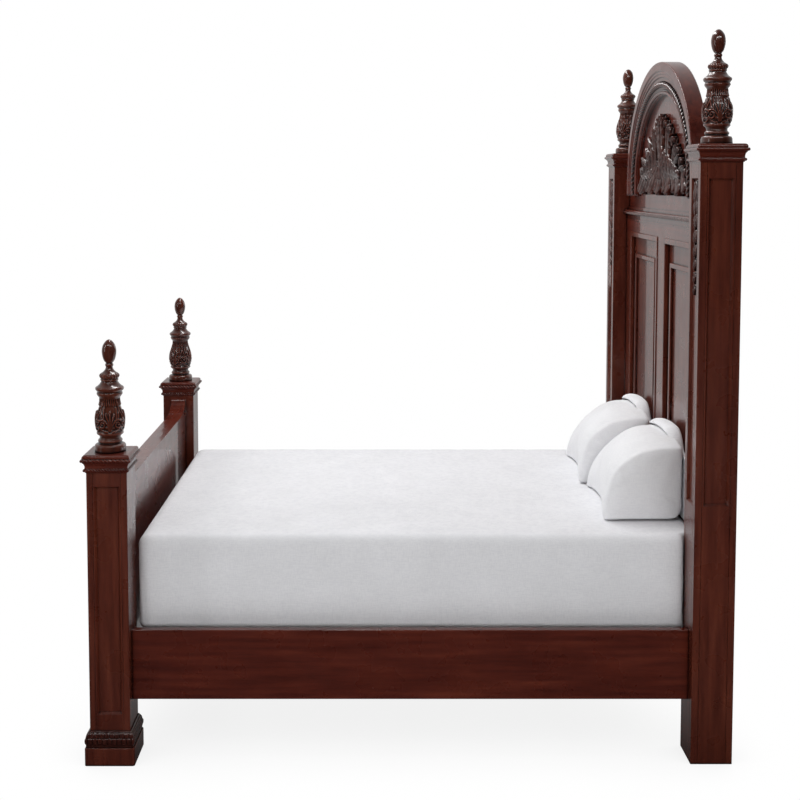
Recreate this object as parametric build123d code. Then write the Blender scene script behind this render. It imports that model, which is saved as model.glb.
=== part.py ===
"""Four poster bed: carved posts with finials, arched headboard, low footboard, mattress and pillows.

Millimetres. X runs across the bed, Y along it with the head end at +Y, and Z is up. The origin is
on the floor, in the middle of the bed's footprint. "right" is the +X side and "left" the -X side.
"""
import os

from build123d import *

# Driving dimensions -------------------------------------------------------------------------
POST_SPAN_X = 1620.0            # between post axes, across the bed
POST_SPAN_Y = 2240.0            # between foot and head post axes
FOOT_POST = 150.0               # square section of a foot post
HEAD_POST = 155.0               # square section of a head post
FOOT_CAP_TOP = 1168.0
HEAD_CAP_TOP = 2306.0
CAP_HEIGHT = 67.0
CAP_OVERHANG = 18.5             # widest line of a cap beyond its post's face
PLINTH_HALF = 93.0
PLINTH_TOP = 67.0
COLLAR_BOTTOM = 76.0
COLLAR_TOP = 128.0
FINIAL_HEIGHT = 417.0

MATTRESS_WIDTH = 1510.0
MATTRESS_END_GAP = 10.0         # between the sheeted mattress and the posts
MATTRESS_BOTTOM = 455.0
MATTRESS_TOP = 830.0
BOX_SPRING_BOTTOM = 290.0
SOFT_GAP = 1.0                  # air between two soft pieces

RAIL_BOTTOM = 227.0
RAIL_TOP = 493.0
RAIL_INSET = 47.5               # outer face of a side rail behind the foot post's outer face
RAIL_THICKNESS = 30.0

CROWN_CENTER_Z = 2165.0         # centre of the crown's half ellipses
CROWN_HALF_WIDTH = 622.0
CROWN_RISE = 514.0
CROWN_FOOT_Z = 2100.0
CROWN_RING = 140.0              # width of the crown's moulded band
CROWN_FRONT = -40.0             # headboard depths are measured from the head post axis
CROWN_BACK = 30.0
FRAME_FRONT = -12.0
FRAME_BACK = 20.0
FIELD_FRONT = 0.0
PANEL_FRONT = 5.0
BACK_SHEET = 6.0

PANEL_TOP = 1927.0              # top of the two tall headboard panels
PANEL_BOTTOM = 520.0
PANEL_INNER_X = 60.0
PANEL_OUTER_X = 640.0
PANEL_THICKNESS = 12.0
BOTTOM_RAIL_DEPTH = 160.0
SHOULDER_TOP = 2236.0
FRIEZE_MOULDING_Z = 2030.0

FOOTBOARD_TOP = 1018.0
FOOTBOARD_SWEEP_TOP = 1092.0
FOOTBOARD_SWEEP = 165.0
FOOTBOARD_BOTTOM = 180.0
FOOTBOARD_HALF = 34.5           # half thickness of the footboard's top rail

# Worked out from the driving dimensions ---------------------------------------------------------
HALF_X = POST_SPAN_X / 2
HEAD_OVERHANG = HEAD_POST / 2 + CAP_OVERHANG
FOOT_Y = -(POST_SPAN_Y + HEAD_OVERHANG - PLINTH_HALF) / 2
HEAD_Y = FOOT_Y + POST_SPAN_Y
FOOT_NECK = FOOT_CAP_TOP - CAP_HEIGHT
HEAD_NECK = HEAD_CAP_TOP - CAP_HEIGHT
HEAD_INNER_X = HALF_X - HEAD_POST / 2
FOOT_INNER_X = HALF_X - FOOT_POST / 2
RAIL_OUTER_X = HALF_X + FOOT_POST / 2 - RAIL_INSET
RAIL_INNER_X = RAIL_OUTER_X - RAIL_THICKNESS
RAIL_START = FOOT_Y + FOOT_POST / 2
RAIL_END = HEAD_Y - HEAD_POST / 2
SIDES = (("left", -1), ("right", 1))

parts = {}


# Helpers -------------------------------------------------------------------------------------
def block(x0, x1, y0, y1, z0, z1):
    """A box between two corners."""
    place = Pos((x0 + x1) / 2, (y0 + y1) / 2, (z0 + z1) / 2)
    return place * Box(abs(x1 - x0), abs(y1 - y0), z1 - z0)


def eased(solid, axis, radius):
    """Round every edge of a solid that runs along one axis."""
    return fillet(solid.edges().filter_by(axis), radius)


def upright(outline, y_front, y_back):
    """Thicken an outline, drawn in X and Z, from one depth to another."""
    return extrude(Plane.XZ.offset(-y_back) * outline, amount=y_back - y_front)


def along_x(outline, x0, x1):
    """Thicken an outline, drawn in Y and Z, from one width to another."""
    return extrude(Plane.YZ.offset(x0) * outline, amount=x1 - x0)


def rectangle(x0, x1, z0, z1):
    """A flat rectangle between two corners."""
    return Pos((x0 + x1) / 2, (z0 + z1) / 2) * Rectangle(x1 - x0, z1 - z0)


def four_sided(profile):
    """A square moulding with mitred corners, from a closed half profile of (half width, z)."""
    mirrored = [(-half, z) for half, z in reversed(profile) if half > 0]
    outline = make_face(Polyline(*profile, *mirrored, close=True))
    reach = max(half for half, z in profile) + 1
    front = extrude(Plane.XZ.offset(-reach) * outline, amount=2 * reach)
    side = extrude(Plane.YZ.offset(-reach) * outline, amount=2 * reach)
    return front & side


def moulding_frame(x0, x1, z0, z1, width, y_front, y_back, rounding):
    """A picture-frame moulding with its front edges rounded."""
    outline = rectangle(x0, x1, z0, z1) - rectangle(x0 + width, x1 - width, z0 + width, z1 - width)
    frame = upright(outline, y_front, y_back)
    front_edges = frame.edges().group_by(Axis.Y)[0]
    return fillet(front_edges, rounding)


def crown_outline(inset):
    """The crown's outline, inset from its outer edge: a half ellipse on two short legs."""
    half_width = CROWN_HALF_WIDTH - inset
    arch = Pos(0, CROWN_CENTER_Z) * Ellipse(half_width, CROWN_RISE - inset)
    above = rectangle(-half_width, half_width, CROWN_CENTER_Z, CROWN_CENTER_Z + CROWN_RISE)
    legs = rectangle(-half_width, half_width, CROWN_FOOT_Z, CROWN_CENTER_Z)
    return (arch & above) + legs


def crown_band(outer_inset, inner_inset, y_front, y_back):
    """One step of the crown's moulding, open at the bottom."""
    band = crown_outline(outer_inset) - crown_outline(inner_inset)
    return upright(band, y_front, y_back)


def pin_z(radius, x, y, z0, z1):
    """An upright round pin."""
    return Pos(x, y, (z0 + z1) / 2) * Cylinder(radius, z1 - z0)


def pin_x(radius, x0, x1, y, z):
    """A round pin along X."""
    return Pos((x0 + x1) / 2, y, z) * Rot(0, 90, 0) * Cylinder(radius, abs(x1 - x0))


def group(solids):
    """Several separate solids in one node."""
    return Compound(children=list(solids))


# Posts ---------------------------------------------------------------------------------------
RECESS_DEPTH = 10.0
POST_PANEL = 6.0
BEVEL = 7.0
GROOVE = 1.4
GROOVE_OFFSET = 52.0
RECESS_HALF = 46.0
FOOT_RECESS = (189.0, 1050.0)
HEAD_RECESS = (976.0, 2181.0)
HEAD_FRONT_RECESS = (970.0, 2181.0)


def recess_pocket(half, z0, z1):
    """The bevelled pocket and, in its floor, the seat of the thin panel, cut from a +X face at X=0."""
    height = z1 - z0
    middle = Pos(0, 0, (z0 + z1) / 2)
    mouth = Plane.YZ * Rectangle(2 * half, height)
    floor = Plane.YZ.offset(-RECESS_DEPTH) * Rectangle(2 * (half - BEVEL), height - 2 * BEVEL)
    pocket = loft([mouth.face(), floor.face()])
    seat = Pos(-RECESS_DEPTH - POST_PANEL / 2, 0, 0) * Box(
        POST_PANEL, 2 * (half - BEVEL), height - 2 * BEVEL)
    return middle * (pocket + seat)


def recess_panel(half, z0, z1):
    """The thin panel that closes a recess, for a +X face at X=0."""
    middle = Pos(-RECESS_DEPTH - POST_PANEL / 2, 0, (z0 + z1) / 2)
    clear = 0.2
    return middle * Box(POST_PANEL, 2 * (half - BEVEL - clear), z1 - z0 - 2 * (BEVEL + clear))


def post_faces(x, y, size, side):
    """Places of a post's outer face and its foot-end face, each turned from a +X face at X=0."""
    outer = Pos(x + side * size / 2, y, 0) * Rot(0, 0, 0 if side > 0 else 180)
    front = Pos(x, y - size / 2, 0) * Rot(0, 0, -90)
    return outer, front


def post(x, y, size, z0, z1, side, outer_recess, front_recess):
    """A square post with a bevelled recess in two faces and the joint lines of its built-up boards."""
    solid = eased(block(x - size / 2, x + size / 2, y - size / 2, y + size / 2, z0, z1), Axis.Z, 2.5)
    outer, front = post_faces(x, y, size, side)
    for face, recess in ((outer, outer_recess), (front, front_recess)):
        solid -= face * recess_pocket(RECESS_HALF, *recess)
        for offset in (-GROOVE_OFFSET, GROOVE_OFFSET):
            groove = Pos(0, offset, (z0 + z1) / 2) * Box(2 * GROOVE, GROOVE, z1 - z0 + 2)
            solid -= face * groove
    return solid


def post_panels(x, y, size, side, outer_recess, front_recess):
    """The two thin panels in a post's recesses."""
    outer, front = post_faces(x, y, size, side)
    return [outer * recess_panel(RECESS_HALF, *outer_recess),
            front * recess_panel(RECESS_HALF, *front_recess)]


def cap(post_size, top):
    """A post's cap: rounded edge, cove and a small bead, mitred round the post."""
    half = post_size / 2
    wide = half + CAP_OVERHANG
    profile = [(0, 0), (wide - 9, 0), (wide - 5, -3), (wide - 2, -8), (wide - 0.5, -14)]
    profile += [(wide, -21), (wide - 1.5, -28), (wide - 5, -33), (half + 11, -37), (half + 7.5, -44)]
    profile += [(half + 5, -53), (half + 7, -55), (half + 8, -59), (half + 7, -62.5)]
    profile += [(half + 3, -64), (half + 2, -CAP_HEIGHT), (0, -CAP_HEIGHT)]
    return Pos(0, 0, top) * four_sided(profile)


# Finials: radius by height above the cap -------------------------------------------------------
PIN_RADIUS = 5.0
PIN_LENGTH = 45.0               # above the cap, and the same below
PIN_CLEARANCE = 0.06


def finial():
    """A turned finial standing at the origin, with a blind bore for its steel pin."""
    with BuildLine() as outline:
        Line((0, 0), (54, 0))
        Line((54, 0), (55.5, 4))
        Line((55.5, 4), (55.5, 26))
        ThreePointArc((55.5, 26), (52, 35), (44, 40))
        ThreePointArc((44, 40), (37, 44), (36, 54))
        Line((36, 54), (35, 64))
        Spline((35, 64), (46, 80), (56, 105), (58, 128), (53, 158), (43, 186), (38, 202),
               tangents=((1, 0.3), (-0.2, 1)))
        ThreePointArc((38, 202), (41, 212), (45, 220))
        ThreePointArc((45, 220), (52, 232), (45, 244))
        Spline((45, 244), (33, 251), (28.5, 262), tangents=((-1, 0.2), (0, 1)))
        Line((28.5, 262), (32, 270))
        ThreePointArc((32, 270), (38, 282), (29, 294))
        Spline((29, 294), (18, 303), (11.5, 318), tangents=((-1, 0.2), (0, 1)))
        ThreePointArc((11.5, 318), (14, 328), (12, 338))
        Spline((12, 338), (21, 353), (25, 372), (20, 394), (10, 410), (0, FINIAL_HEIGHT),
               tangents=((1, 0.7), (-1, 0.1)))
        Line((0, FINIAL_HEIGHT), (0, 0))
    turned = revolve(Plane.XZ * make_face(outline.line), Axis.Z)
    bore = pin_z(PIN_RADIUS + PIN_CLEARANCE, 0, 0, -1, PIN_LENGTH + 2)
    return turned - bore


def finial_pin(x, y, cap_top):
    """The steel pin that a finial is slipped over."""
    return chamfer(pin_z(PIN_RADIUS, x, y, cap_top - PIN_LENGTH, cap_top + PIN_LENGTH).edges(), 1)


def make_posts():
    """Four posts with their panels, caps, finials and pins, and the foot posts' carved bases."""
    panels = {"head": [], "foot": []}
    pins = []
    for name, side in SIDES:
        x = side * HALF_X
        solid = post(x, HEAD_Y, HEAD_POST, 0, HEAD_NECK, side, HEAD_RECESS, HEAD_FRONT_RECESS)
        parts["head_post_" + name] = solid
        panels["head"] += post_panels(x, HEAD_Y, HEAD_POST, side, HEAD_RECESS, HEAD_FRONT_RECESS)
        parts["foot_post_" + name] = post(
            x, FOOT_Y, FOOT_POST, PLINTH_TOP, FOOT_NECK, side, FOOT_RECESS, FOOT_RECESS)
        panels["foot"] += post_panels(x, FOOT_Y, FOOT_POST, side, FOOT_RECESS, FOOT_RECESS)
        for end, y, size, top in (("head", HEAD_Y, HEAD_POST, HEAD_CAP_TOP),
                                  ("foot", FOOT_Y, FOOT_POST, FOOT_CAP_TOP)):
            bore = pin_z(PIN_RADIUS, x, y, top - PIN_LENGTH, top + 1)
            parts[end + "_post_cap_" + name] = Pos(x, y, 0) * cap(size, top) - bore
            parts[end + "_finial_" + name] = Pos(x, y, top) * finial()
            pins.append(finial_pin(x, y, top))
        parts["foot_plinth_" + name] = Pos(x, FOOT_Y, 0) * plinth()
        parts["foot_collar_" + name] = Pos(x, FOOT_Y, 0) * collar()
    parts["head_post_panels"] = group(panels["head"])
    parts["foot_post_panels"] = group(panels["foot"])
    parts["finial_pins"] = group(pins)


def plinth():
    """The block under a foot post, with rounded corners."""
    solid = block(-PLINTH_HALF, PLINTH_HALF, -PLINTH_HALF, PLINTH_HALF, 0, PLINTH_TOP)
    solid = eased(solid, Axis.Z, 9)
    return fillet(solid.edges().group_by(Axis.Z)[-1], 4)


def collar():
    """The carved moulding round a foot post just above its plinth: a torus and a leaf band."""
    post_half = FOOT_POST / 2
    profile = [(0, PLINTH_TOP), (86, PLINTH_TOP), (86, COLLAR_BOTTOM), (91, 79), (94, 87), (94, 95)]
    profile += [(91, 103), (90.5, 106), (90, 112), (86, 118), (80, 121), (78, 124), (78, COLLAR_TOP)]
    profile += [(0, COLLAR_TOP)]
    hole = block(-post_half, post_half, -post_half, post_half, PLINTH_TOP - 1, COLLAR_TOP + 1)
    return four_sided(profile) - hole


# Headboard -----------------------------------------------------------------------------------
CROWN_STEPS = ((40, 0), (53, 4), (66, 8), (140, 14))    # inner inset of each step, and how far back
ROPE = (84, 106)                # insets of the rope moulding
ROPE_PROUD = 12.0
BEAD = (122, 138)               # insets of the crown's inner bead
BEAD_PROUD = 7.0
MOULDING = 26.0
FIELD_INSET = 82.0              # between a panel's outer and inner mouldings
FIELD_MOULDING_TOP = 1825.0


def make_crown():
    """The arched crown, its rope and bead mouldings, and the field board inside it."""
    steps = []
    outer = 0
    for inner, back in CROWN_STEPS:
        steps.append(crown_band(outer, inner, HEAD_Y + CROWN_FRONT + back, HEAD_Y + CROWN_BACK))
        outer = inner
    crown = steps[0] + steps[1] + steps[2] + steps[3]
    floor = HEAD_Y + CROWN_FRONT + CROWN_STEPS[-1][1]
    parts["crown_arch"] = crown
    parts["crown_rope_moulding"] = crown_band(*ROPE, floor - ROPE_PROUD, floor)
    parts["crown_bead_moulding"] = crown_band(*BEAD, floor - BEAD_PROUD, floor)
    field = rectangle(-HEAD_INNER_X, HEAD_INNER_X, PANEL_TOP, SHOULDER_TOP) + crown_outline(CROWN_RING)
    board = upright(field, HEAD_Y + FIELD_FRONT, HEAD_Y + FRAME_BACK)
    parts["headboard_field"] = board - upright(
        crown_outline(0) - crown_outline(CROWN_RING), HEAD_Y + CROWN_FRONT, HEAD_Y + CROWN_BACK)


def make_headboard_frame():
    """Stiles, mullion, rails, tall panels with their mouldings, and the back sheet."""
    front = HEAD_Y + FRAME_FRONT
    back = HEAD_Y + FRAME_BACK
    rail_bottom = PANEL_BOTTOM - BOTTOM_RAIL_DEPTH
    for name, side in SIDES:
        x0, x1 = sorted((side * PANEL_OUTER_X, side * HEAD_INNER_X))
        parts["headboard_stile_" + name] = block(x0, x1, front, back, rail_bottom, PANEL_TOP)
    parts["headboard_mullion"] = block(
        -PANEL_INNER_X, PANEL_INNER_X, front, back, PANEL_BOTTOM, PANEL_TOP)
    parts["headboard_bottom_rail"] = block(
        -PANEL_OUTER_X, PANEL_OUTER_X, front, back, rail_bottom, PANEL_BOTTOM)
    parts["headboard_top_rail"] = block(
        -HEAD_INNER_X, HEAD_INNER_X, front, HEAD_Y + FIELD_FRONT, PANEL_TOP,
        FRIEZE_MOULDING_Z)
    parts["headboard_back_sheet"] = block(
        -HEAD_INNER_X, HEAD_INNER_X, back, back + BACK_SHEET, rail_bottom, CROWN_FOOT_Z)
    panel_y = HEAD_Y + PANEL_FRONT
    mouldings = []
    for name, side in SIDES:
        x0, x1 = sorted((side * PANEL_INNER_X, side * PANEL_OUTER_X))
        parts["headboard_panel_" + name] = block(
            x0, x1, panel_y, panel_y + PANEL_THICKNESS, PANEL_BOTTOM, PANEL_TOP)
        outer = moulding_frame(x0, x1, PANEL_BOTTOM, PANEL_TOP, MOULDING, front - 4, panel_y, 5)
        inner = moulding_frame(x0 + FIELD_INSET, x1 - FIELD_INSET, PANEL_BOTTOM + FIELD_INSET,
                               FIELD_MOULDING_TOP, MOULDING - 4, panel_y - 12, panel_y, 5)
        mouldings += [outer, inner]
    parts["headboard_panel_mouldings"] = group(mouldings)


FRIEZE_BAR = 22.0               # height of the beaded bar, under the top of the headboard's top rail
FRIEZE_BAR_PROUD = 14.0
FRIEZE_STRIP = (-49.0, -44.0)   # the thin strip below it, from the same line
FRIEZE_STRIP_PROUD = 3.0
FRIEZE_FILLET = 14.0            # height of the fillet above it
FRIEZE_FILLET_PROUD = 5.0


def make_frieze_moulding():
    """The beaded moulding across the headboard, between two thin fillets."""
    ledge = HEAD_Y + FRAME_FRONT
    wall = HEAD_Y + FIELD_FRONT
    line = FRIEZE_MOULDING_Z
    bar = block(-HEAD_INNER_X, HEAD_INNER_X, ledge - FRIEZE_BAR_PROUD, ledge, line - FRIEZE_BAR, line)
    bar = fillet(bar.edges().filter_by(Axis.X).group_by(Axis.Y)[0], 6)
    strip = block(-HEAD_INNER_X, HEAD_INNER_X, ledge - FRIEZE_STRIP_PROUD, ledge,
                  line + FRIEZE_STRIP[0], line + FRIEZE_STRIP[1])
    upper = block(-HEAD_INNER_X, HEAD_INNER_X, wall - FRIEZE_FILLET_PROUD, wall, line,
                  line + FRIEZE_FILLET)
    parts["headboard_frieze_moulding"] = group([bar, strip, upper])


CARVING_PROUD = 38.0
DROP_PROUD = 12.0
DROP_LENGTH = 438.0


def make_carvings():
    """Plain bodies of the carved centre piece and of the drops on the head posts' front faces."""
    right_half = [(0, 2462), (60, 2446), (150, 2406), (262, 2352), (352, 2284), (425, 2220)]
    right_half += [(440, 2160), (402, 2118), (300, 2112), (150, 2106), (0, 2110)]
    left_half = [(-x, z) for x, z in reversed(right_half[1:-1])]
    outline = make_face(Polyline(*right_half, *left_half, close=True))
    parts["headboard_carving"] = upright(
        outline, HEAD_Y + FIELD_FRONT - CARVING_PROUD, HEAD_Y + FIELD_FRONT)
    face = HEAD_Y - HEAD_POST / 2 + RECESS_DEPTH
    top = HEAD_FRONT_RECESS[1] - 12
    for name, side in SIDES:
        x = side * HALF_X
        drop = [(x - 33, top), (x - 33, top - 250), (x, top - DROP_LENGTH), (x + 33, top - 250)]
        drop += [(x + 33, top)]
        parts["head_post_carving_" + name] = upright(
            make_face(Polyline(*drop, close=True)), face - DROP_PROUD, face)


# Footboard -----------------------------------------------------------------------------------
FOOTBOARD_RAIL_DEPTH = 110.0
FOOTBOARD_FRAME = 22.0          # half thickness below the top rail
FOOTBOARD_SHEET = 12.0
FOOTBOARD_STILE = 120.0


def make_footboard():
    """Top rail with swept-up ends, inner sheet, and framed outer face with two panels."""
    rail_bottom = FOOTBOARD_TOP - FOOTBOARD_RAIL_DEPTH
    sweep_start = FOOT_INNER_X - FOOTBOARD_SWEEP
    outline = rectangle(-FOOT_INNER_X, FOOT_INNER_X, rail_bottom, FOOTBOARD_SWEEP_TOP)
    hollow = Pos(0, FOOTBOARD_SWEEP_TOP) * Ellipse(FOOTBOARD_SWEEP, FOOTBOARD_SWEEP_TOP - FOOTBOARD_TOP)
    scoop = rectangle(-sweep_start, sweep_start, FOOTBOARD_TOP, FOOTBOARD_SWEEP_TOP + 1)
    rail_outline = outline - scoop
    for side in (-1, 1):
        rail_outline -= Pos(side * sweep_start, 0) * hollow
    rail = upright(rail_outline, FOOT_Y - FOOTBOARD_HALF, FOOT_Y + FOOTBOARD_HALF)
    parts["footboard_top_rail"] = rail
    inner_face = FOOT_Y + FOOTBOARD_HALF
    sheet_front = inner_face - FOOTBOARD_SHEET
    parts["footboard_inner_sheet"] = block(
        -FOOT_INNER_X, FOOT_INNER_X, sheet_front, inner_face, FOOTBOARD_BOTTOM, rail_bottom)
    outer_face = FOOT_Y - FOOTBOARD_FRAME
    bottom_rail_top = FOOTBOARD_BOTTOM + 150
    parts["footboard_bottom_rail"] = block(
        -FOOT_INNER_X, FOOT_INNER_X, outer_face, sheet_front, FOOTBOARD_BOTTOM, bottom_rail_top)
    stiles = []
    for center in (-FOOT_INNER_X + FOOTBOARD_STILE / 2, 0, FOOT_INNER_X - FOOTBOARD_STILE / 2):
        stiles.append(block(center - FOOTBOARD_STILE / 2, center + FOOTBOARD_STILE / 2, outer_face,
                            sheet_front, bottom_rail_top, rail_bottom))
    parts["footboard_stiles"] = group(stiles)
    panel_y = outer_face + 14
    panels = []
    mouldings = []
    for side in (-1, 1):
        x0, x1 = sorted((side * FOOTBOARD_STILE / 2, side * (FOOT_INNER_X - FOOTBOARD_STILE)))
        panels.append(block(x0, x1, panel_y, panel_y + 10, bottom_rail_top, rail_bottom))
        mouldings.append(moulding_frame(x0, x1, bottom_rail_top, rail_bottom, MOULDING,
                                        outer_face - 4, panel_y, 5))
    parts["footboard_panels"] = group(panels)
    parts["footboard_panel_mouldings"] = group(mouldings)


# Rails, slats and centre legs -------------------------------------------------------------------
LEDGER = 32.0
SLAT_THICKNESS = 20.0
SLAT_WIDTH = 90.0
SLAT_COUNT = 5
SLAT_TOP = BOX_SPRING_BOTTOM - SOFT_GAP / 2
LEG = 52.0
GLIDE_PAD = 12.0
GLIDE_GAP = 14.0                # screwed-out length of a levelling stud under its leg
STUD_RADIUS = 5.0
STUD_CLEARANCE = 0.08
STUD_DEPTH = 60.0
PLATE = 3.0
PLATE_HEIGHT = 150.0
PLATE_WIDTH = 22.0
HOOK_DEPTH = 12.0
HOOK_OFFSET = 45.0
HOOK_THICKNESS = 4.0
HOOK_HEIGHT = 24.0
SCREW_RADIUS = 2.5


def slat_places():
    """Y of each slat, evenly spaced along the rails."""
    spacing = (RAIL_END - RAIL_START) / SLAT_COUNT
    return [RAIL_START + spacing * (index + 0.5) for index in range(SLAT_COUNT)]


def rail_fittings(side, y_end, toward):
    """A rail's hook plate, its slotted plate and the post's mortise; toward is +1 or -1 into the post."""
    x = side * (RAIL_OUTER_X + RAIL_INNER_X) / 2
    z = (RAIL_BOTTOM + RAIL_TOP) / 2
    middle = Pos(x, y_end, z)
    hook_plate = Pos(0, -toward * PLATE / 2, 0) * Box(PLATE_WIDTH, PLATE, PLATE_HEIGHT)
    slot_plate = Pos(0, toward * PLATE / 2, 0) * Box(PLATE_WIDTH, PLATE, PLATE_HEIGHT)
    mortise = slot_plate
    for offset in (-HOOK_OFFSET, HOOK_OFFSET):
        hook_place = Pos(0, toward * HOOK_DEPTH / 2, offset)
        hook_plate += hook_place * Box(HOOK_THICKNESS, HOOK_DEPTH, HOOK_HEIGHT)
        room = hook_place * Box(HOOK_THICKNESS + 1, HOOK_DEPTH + 2, HOOK_HEIGHT + 6)
        slot_plate -= room
        mortise += room
    return middle * hook_plate, middle * slot_plate, middle * mortise


def make_rails():
    """Side rails with ledgers, screws and bed hooks, hung in plates let into the posts."""
    hooks = []
    plates = []
    screws = []
    for name, side in SIDES:
        x0, x1 = sorted((side * RAIL_INNER_X, side * RAIL_OUTER_X))
        rail = eased(block(x0, x1, RAIL_START, RAIL_END, RAIL_BOTTOM, RAIL_TOP), Axis.Y, 3)
        ledger_bottom = SLAT_TOP - SLAT_THICKNESS - LEDGER
        lx0, lx1 = sorted((side * (RAIL_INNER_X - LEDGER), side * RAIL_INNER_X))
        ledger = block(lx0, lx1, RAIL_START + 40, RAIL_END - 40, ledger_bottom, ledger_bottom + LEDGER)
        for y_end, toward, post_name in ((RAIL_START, -1, "foot_post_"), (RAIL_END, 1, "head_post_")):
            hook, plate, mortise = rail_fittings(side, y_end, toward)
            hooks.append(hook)
            plates.append(plate)
            rail -= hook
            parts[post_name + name] = parts[post_name + name] - mortise
        for y in slat_places():
            z = ledger_bottom + LEDGER / 2
            tip = side * (RAIL_INNER_X + 18)
            shank = pin_x(SCREW_RADIUS, side * (RAIL_INNER_X - LEDGER - 1), tip, y + 90, z)
            head = pin_x(5, side * (RAIL_INNER_X - LEDGER - 4), side * (RAIL_INNER_X - LEDGER), y + 90, z)
            screws.append(shank + head)
            rail -= shank
            ledger -= shank
        parts["side_rail_" + name] = rail
        parts["rail_ledger_" + name] = ledger
    parts["rail_hook_plates"] = group(hooks)
    parts["post_slot_plates"] = group(plates)
    parts["ledger_screws"] = group(screws)


def make_base():
    """Cross slats on the ledgers, and three centre legs with screw-in levelling glides."""
    slats = []
    legs = []
    reach = RAIL_INNER_X - 2
    places = slat_places()
    for y in places:
        slats.append(eased(block(-reach, reach, y - SLAT_WIDTH / 2, y + SLAT_WIDTH / 2,
                                 SLAT_TOP - SLAT_THICKNESS, SLAT_TOP), Axis.X, 3))
    leg_bottom = GLIDE_PAD + GLIDE_GAP
    for index, y in enumerate(places[1:4], start=1):
        leg = eased(block(-LEG / 2, LEG / 2, y - LEG / 2, y + LEG / 2, leg_bottom,
                          SLAT_TOP - SLAT_THICKNESS), Axis.Z, 4)
        legs.append(leg - pin_z(STUD_RADIUS + STUD_CLEARANCE, 0, y, leg_bottom - 1,
                                leg_bottom + STUD_DEPTH))
        stud = pin_z(STUD_RADIUS, 0, y, GLIDE_PAD - 2, leg_bottom + STUD_DEPTH - 2)
        nut = Pos(0, y, GLIDE_PAD + 3) * extrude(RegularPolygon(9, 6), amount=5, both=False)
        pad = fillet(pin_z(22, 0, y, 0, GLIDE_PAD).edges(), 2)
        parts["leveling_glide_" + str(index)] = pad + stud + nut
    parts["slats"] = group(slats)
    parts["center_legs"] = group(legs)


# Soft pieces -----------------------------------------------------------------------------------
MATTRESS_START = FOOT_Y + FOOT_POST / 2 + MATTRESS_END_GAP
MATTRESS_END = HEAD_Y - HEAD_POST / 2 - MATTRESS_END_GAP
BOX_SPRING_WIDTH = 1500.0
BOX_SPRING_INSET = 12.0         # its ends behind the mattress's ends
PILLOW_WIDTH = 590.0
PILLOW_FRONT = 356.0            # front edge of a front pillow, ahead of the head post axis
PILLOW_RISE = 325.0
PILLOW_FOOT = 60.0              # upright part of its front
PILLOW_PLACES = (("left", -307.0), ("right", 287.0))
PILLOW_MEET = 38.0              # where the two pillows of a pair meet, ahead of the head post axis
PILLOW_GAP = 3.0
PILLOW_TOP = 358.0
PILLOW_FLOP = 46.0              # how far the back pillow's top leans over the front one


def make_soft():
    """Box spring, mattress and four pillows, as plain closed solids."""
    half = BOX_SPRING_WIDTH / 2
    spring = block(-half, half, MATTRESS_START + BOX_SPRING_INSET, MATTRESS_END - BOX_SPRING_INSET,
                   BOX_SPRING_BOTTOM, MATTRESS_BOTTOM - SOFT_GAP)
    parts["box_spring"] = eased(spring, Axis.Z, 40)
    half = MATTRESS_WIDTH / 2
    mattress = block(-half, half, MATTRESS_START, MATTRESS_END, MATTRESS_BOTTOM, MATTRESS_TOP)
    mattress = eased(mattress, Axis.Z, 45)
    mattress = fillet(mattress.edges().group_by(Axis.Z)[-1], 40)
    parts["mattress"] = fillet(mattress.edges().group_by(Axis.Z)[0], 25)
    base = MATTRESS_TOP + SOFT_GAP
    for name, x in PILLOW_PLACES:
        x0 = x - PILLOW_WIDTH / 2
        x1 = x + PILLOW_WIDTH / 2
        parts["pillow_front_" + name] = front_pillow(x0, x1, base)
        parts["pillow_back_" + name] = back_pillow(x0, x1, base)


def front_pillow(x0, x1, base):
    """A quarter-round cushion that leans back on the pillow behind it."""
    front = HEAD_Y - PILLOW_FRONT
    rear = HEAD_Y - PILLOW_MEET
    foot = base + PILLOW_FOOT
    arc = Pos(rear, foot) * Ellipse(rear - front, PILLOW_RISE - PILLOW_FOOT)
    quarter = arc & rectangle(front - 1, rear, foot, base + PILLOW_RISE)
    return along_x(quarter + rectangle(front, rear, base, foot), x0, x1)


def back_pillow(x0, x1, base):
    """A pillow pressed flat against the headboard, whose top leans over the front pillow."""
    front = HEAD_Y - PILLOW_MEET + PILLOW_GAP
    rear = HEAD_Y + FRAME_FRONT - 5
    shoulder = base + PILLOW_RISE + PILLOW_GAP
    top = base + PILLOW_TOP
    outline = make_face(Polyline((front, base), (rear, base), (rear, top - 16), (rear - 14, top),
                                 (front - PILLOW_FLOP + 12, top), (front - PILLOW_FLOP, top - 12),
                                 (front - PILLOW_FLOP, shoulder), (front, shoulder), close=True))
    return along_x(outline, x0, x1)


# Build and write ---------------------------------------------------------------------------------
make_posts()
make_crown()
make_headboard_frame()
make_frieze_moulding()
make_carvings()
make_footboard()
make_rails()
make_base()
make_soft()

os.makedirs("parts", exist_ok=True)
for node, solid in parts.items():
    export_step(solid, "parts/" + node + ".step")
print(len(parts), "nodes written")
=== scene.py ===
"""Looks for the four poster bed: lacquered cherry wood, carving, sheeted mattress and pillows.

Everything is in metres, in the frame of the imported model. Shapes are worked out in millimetres,
and new_piece turns their points into metres.
"""

import math

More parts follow.
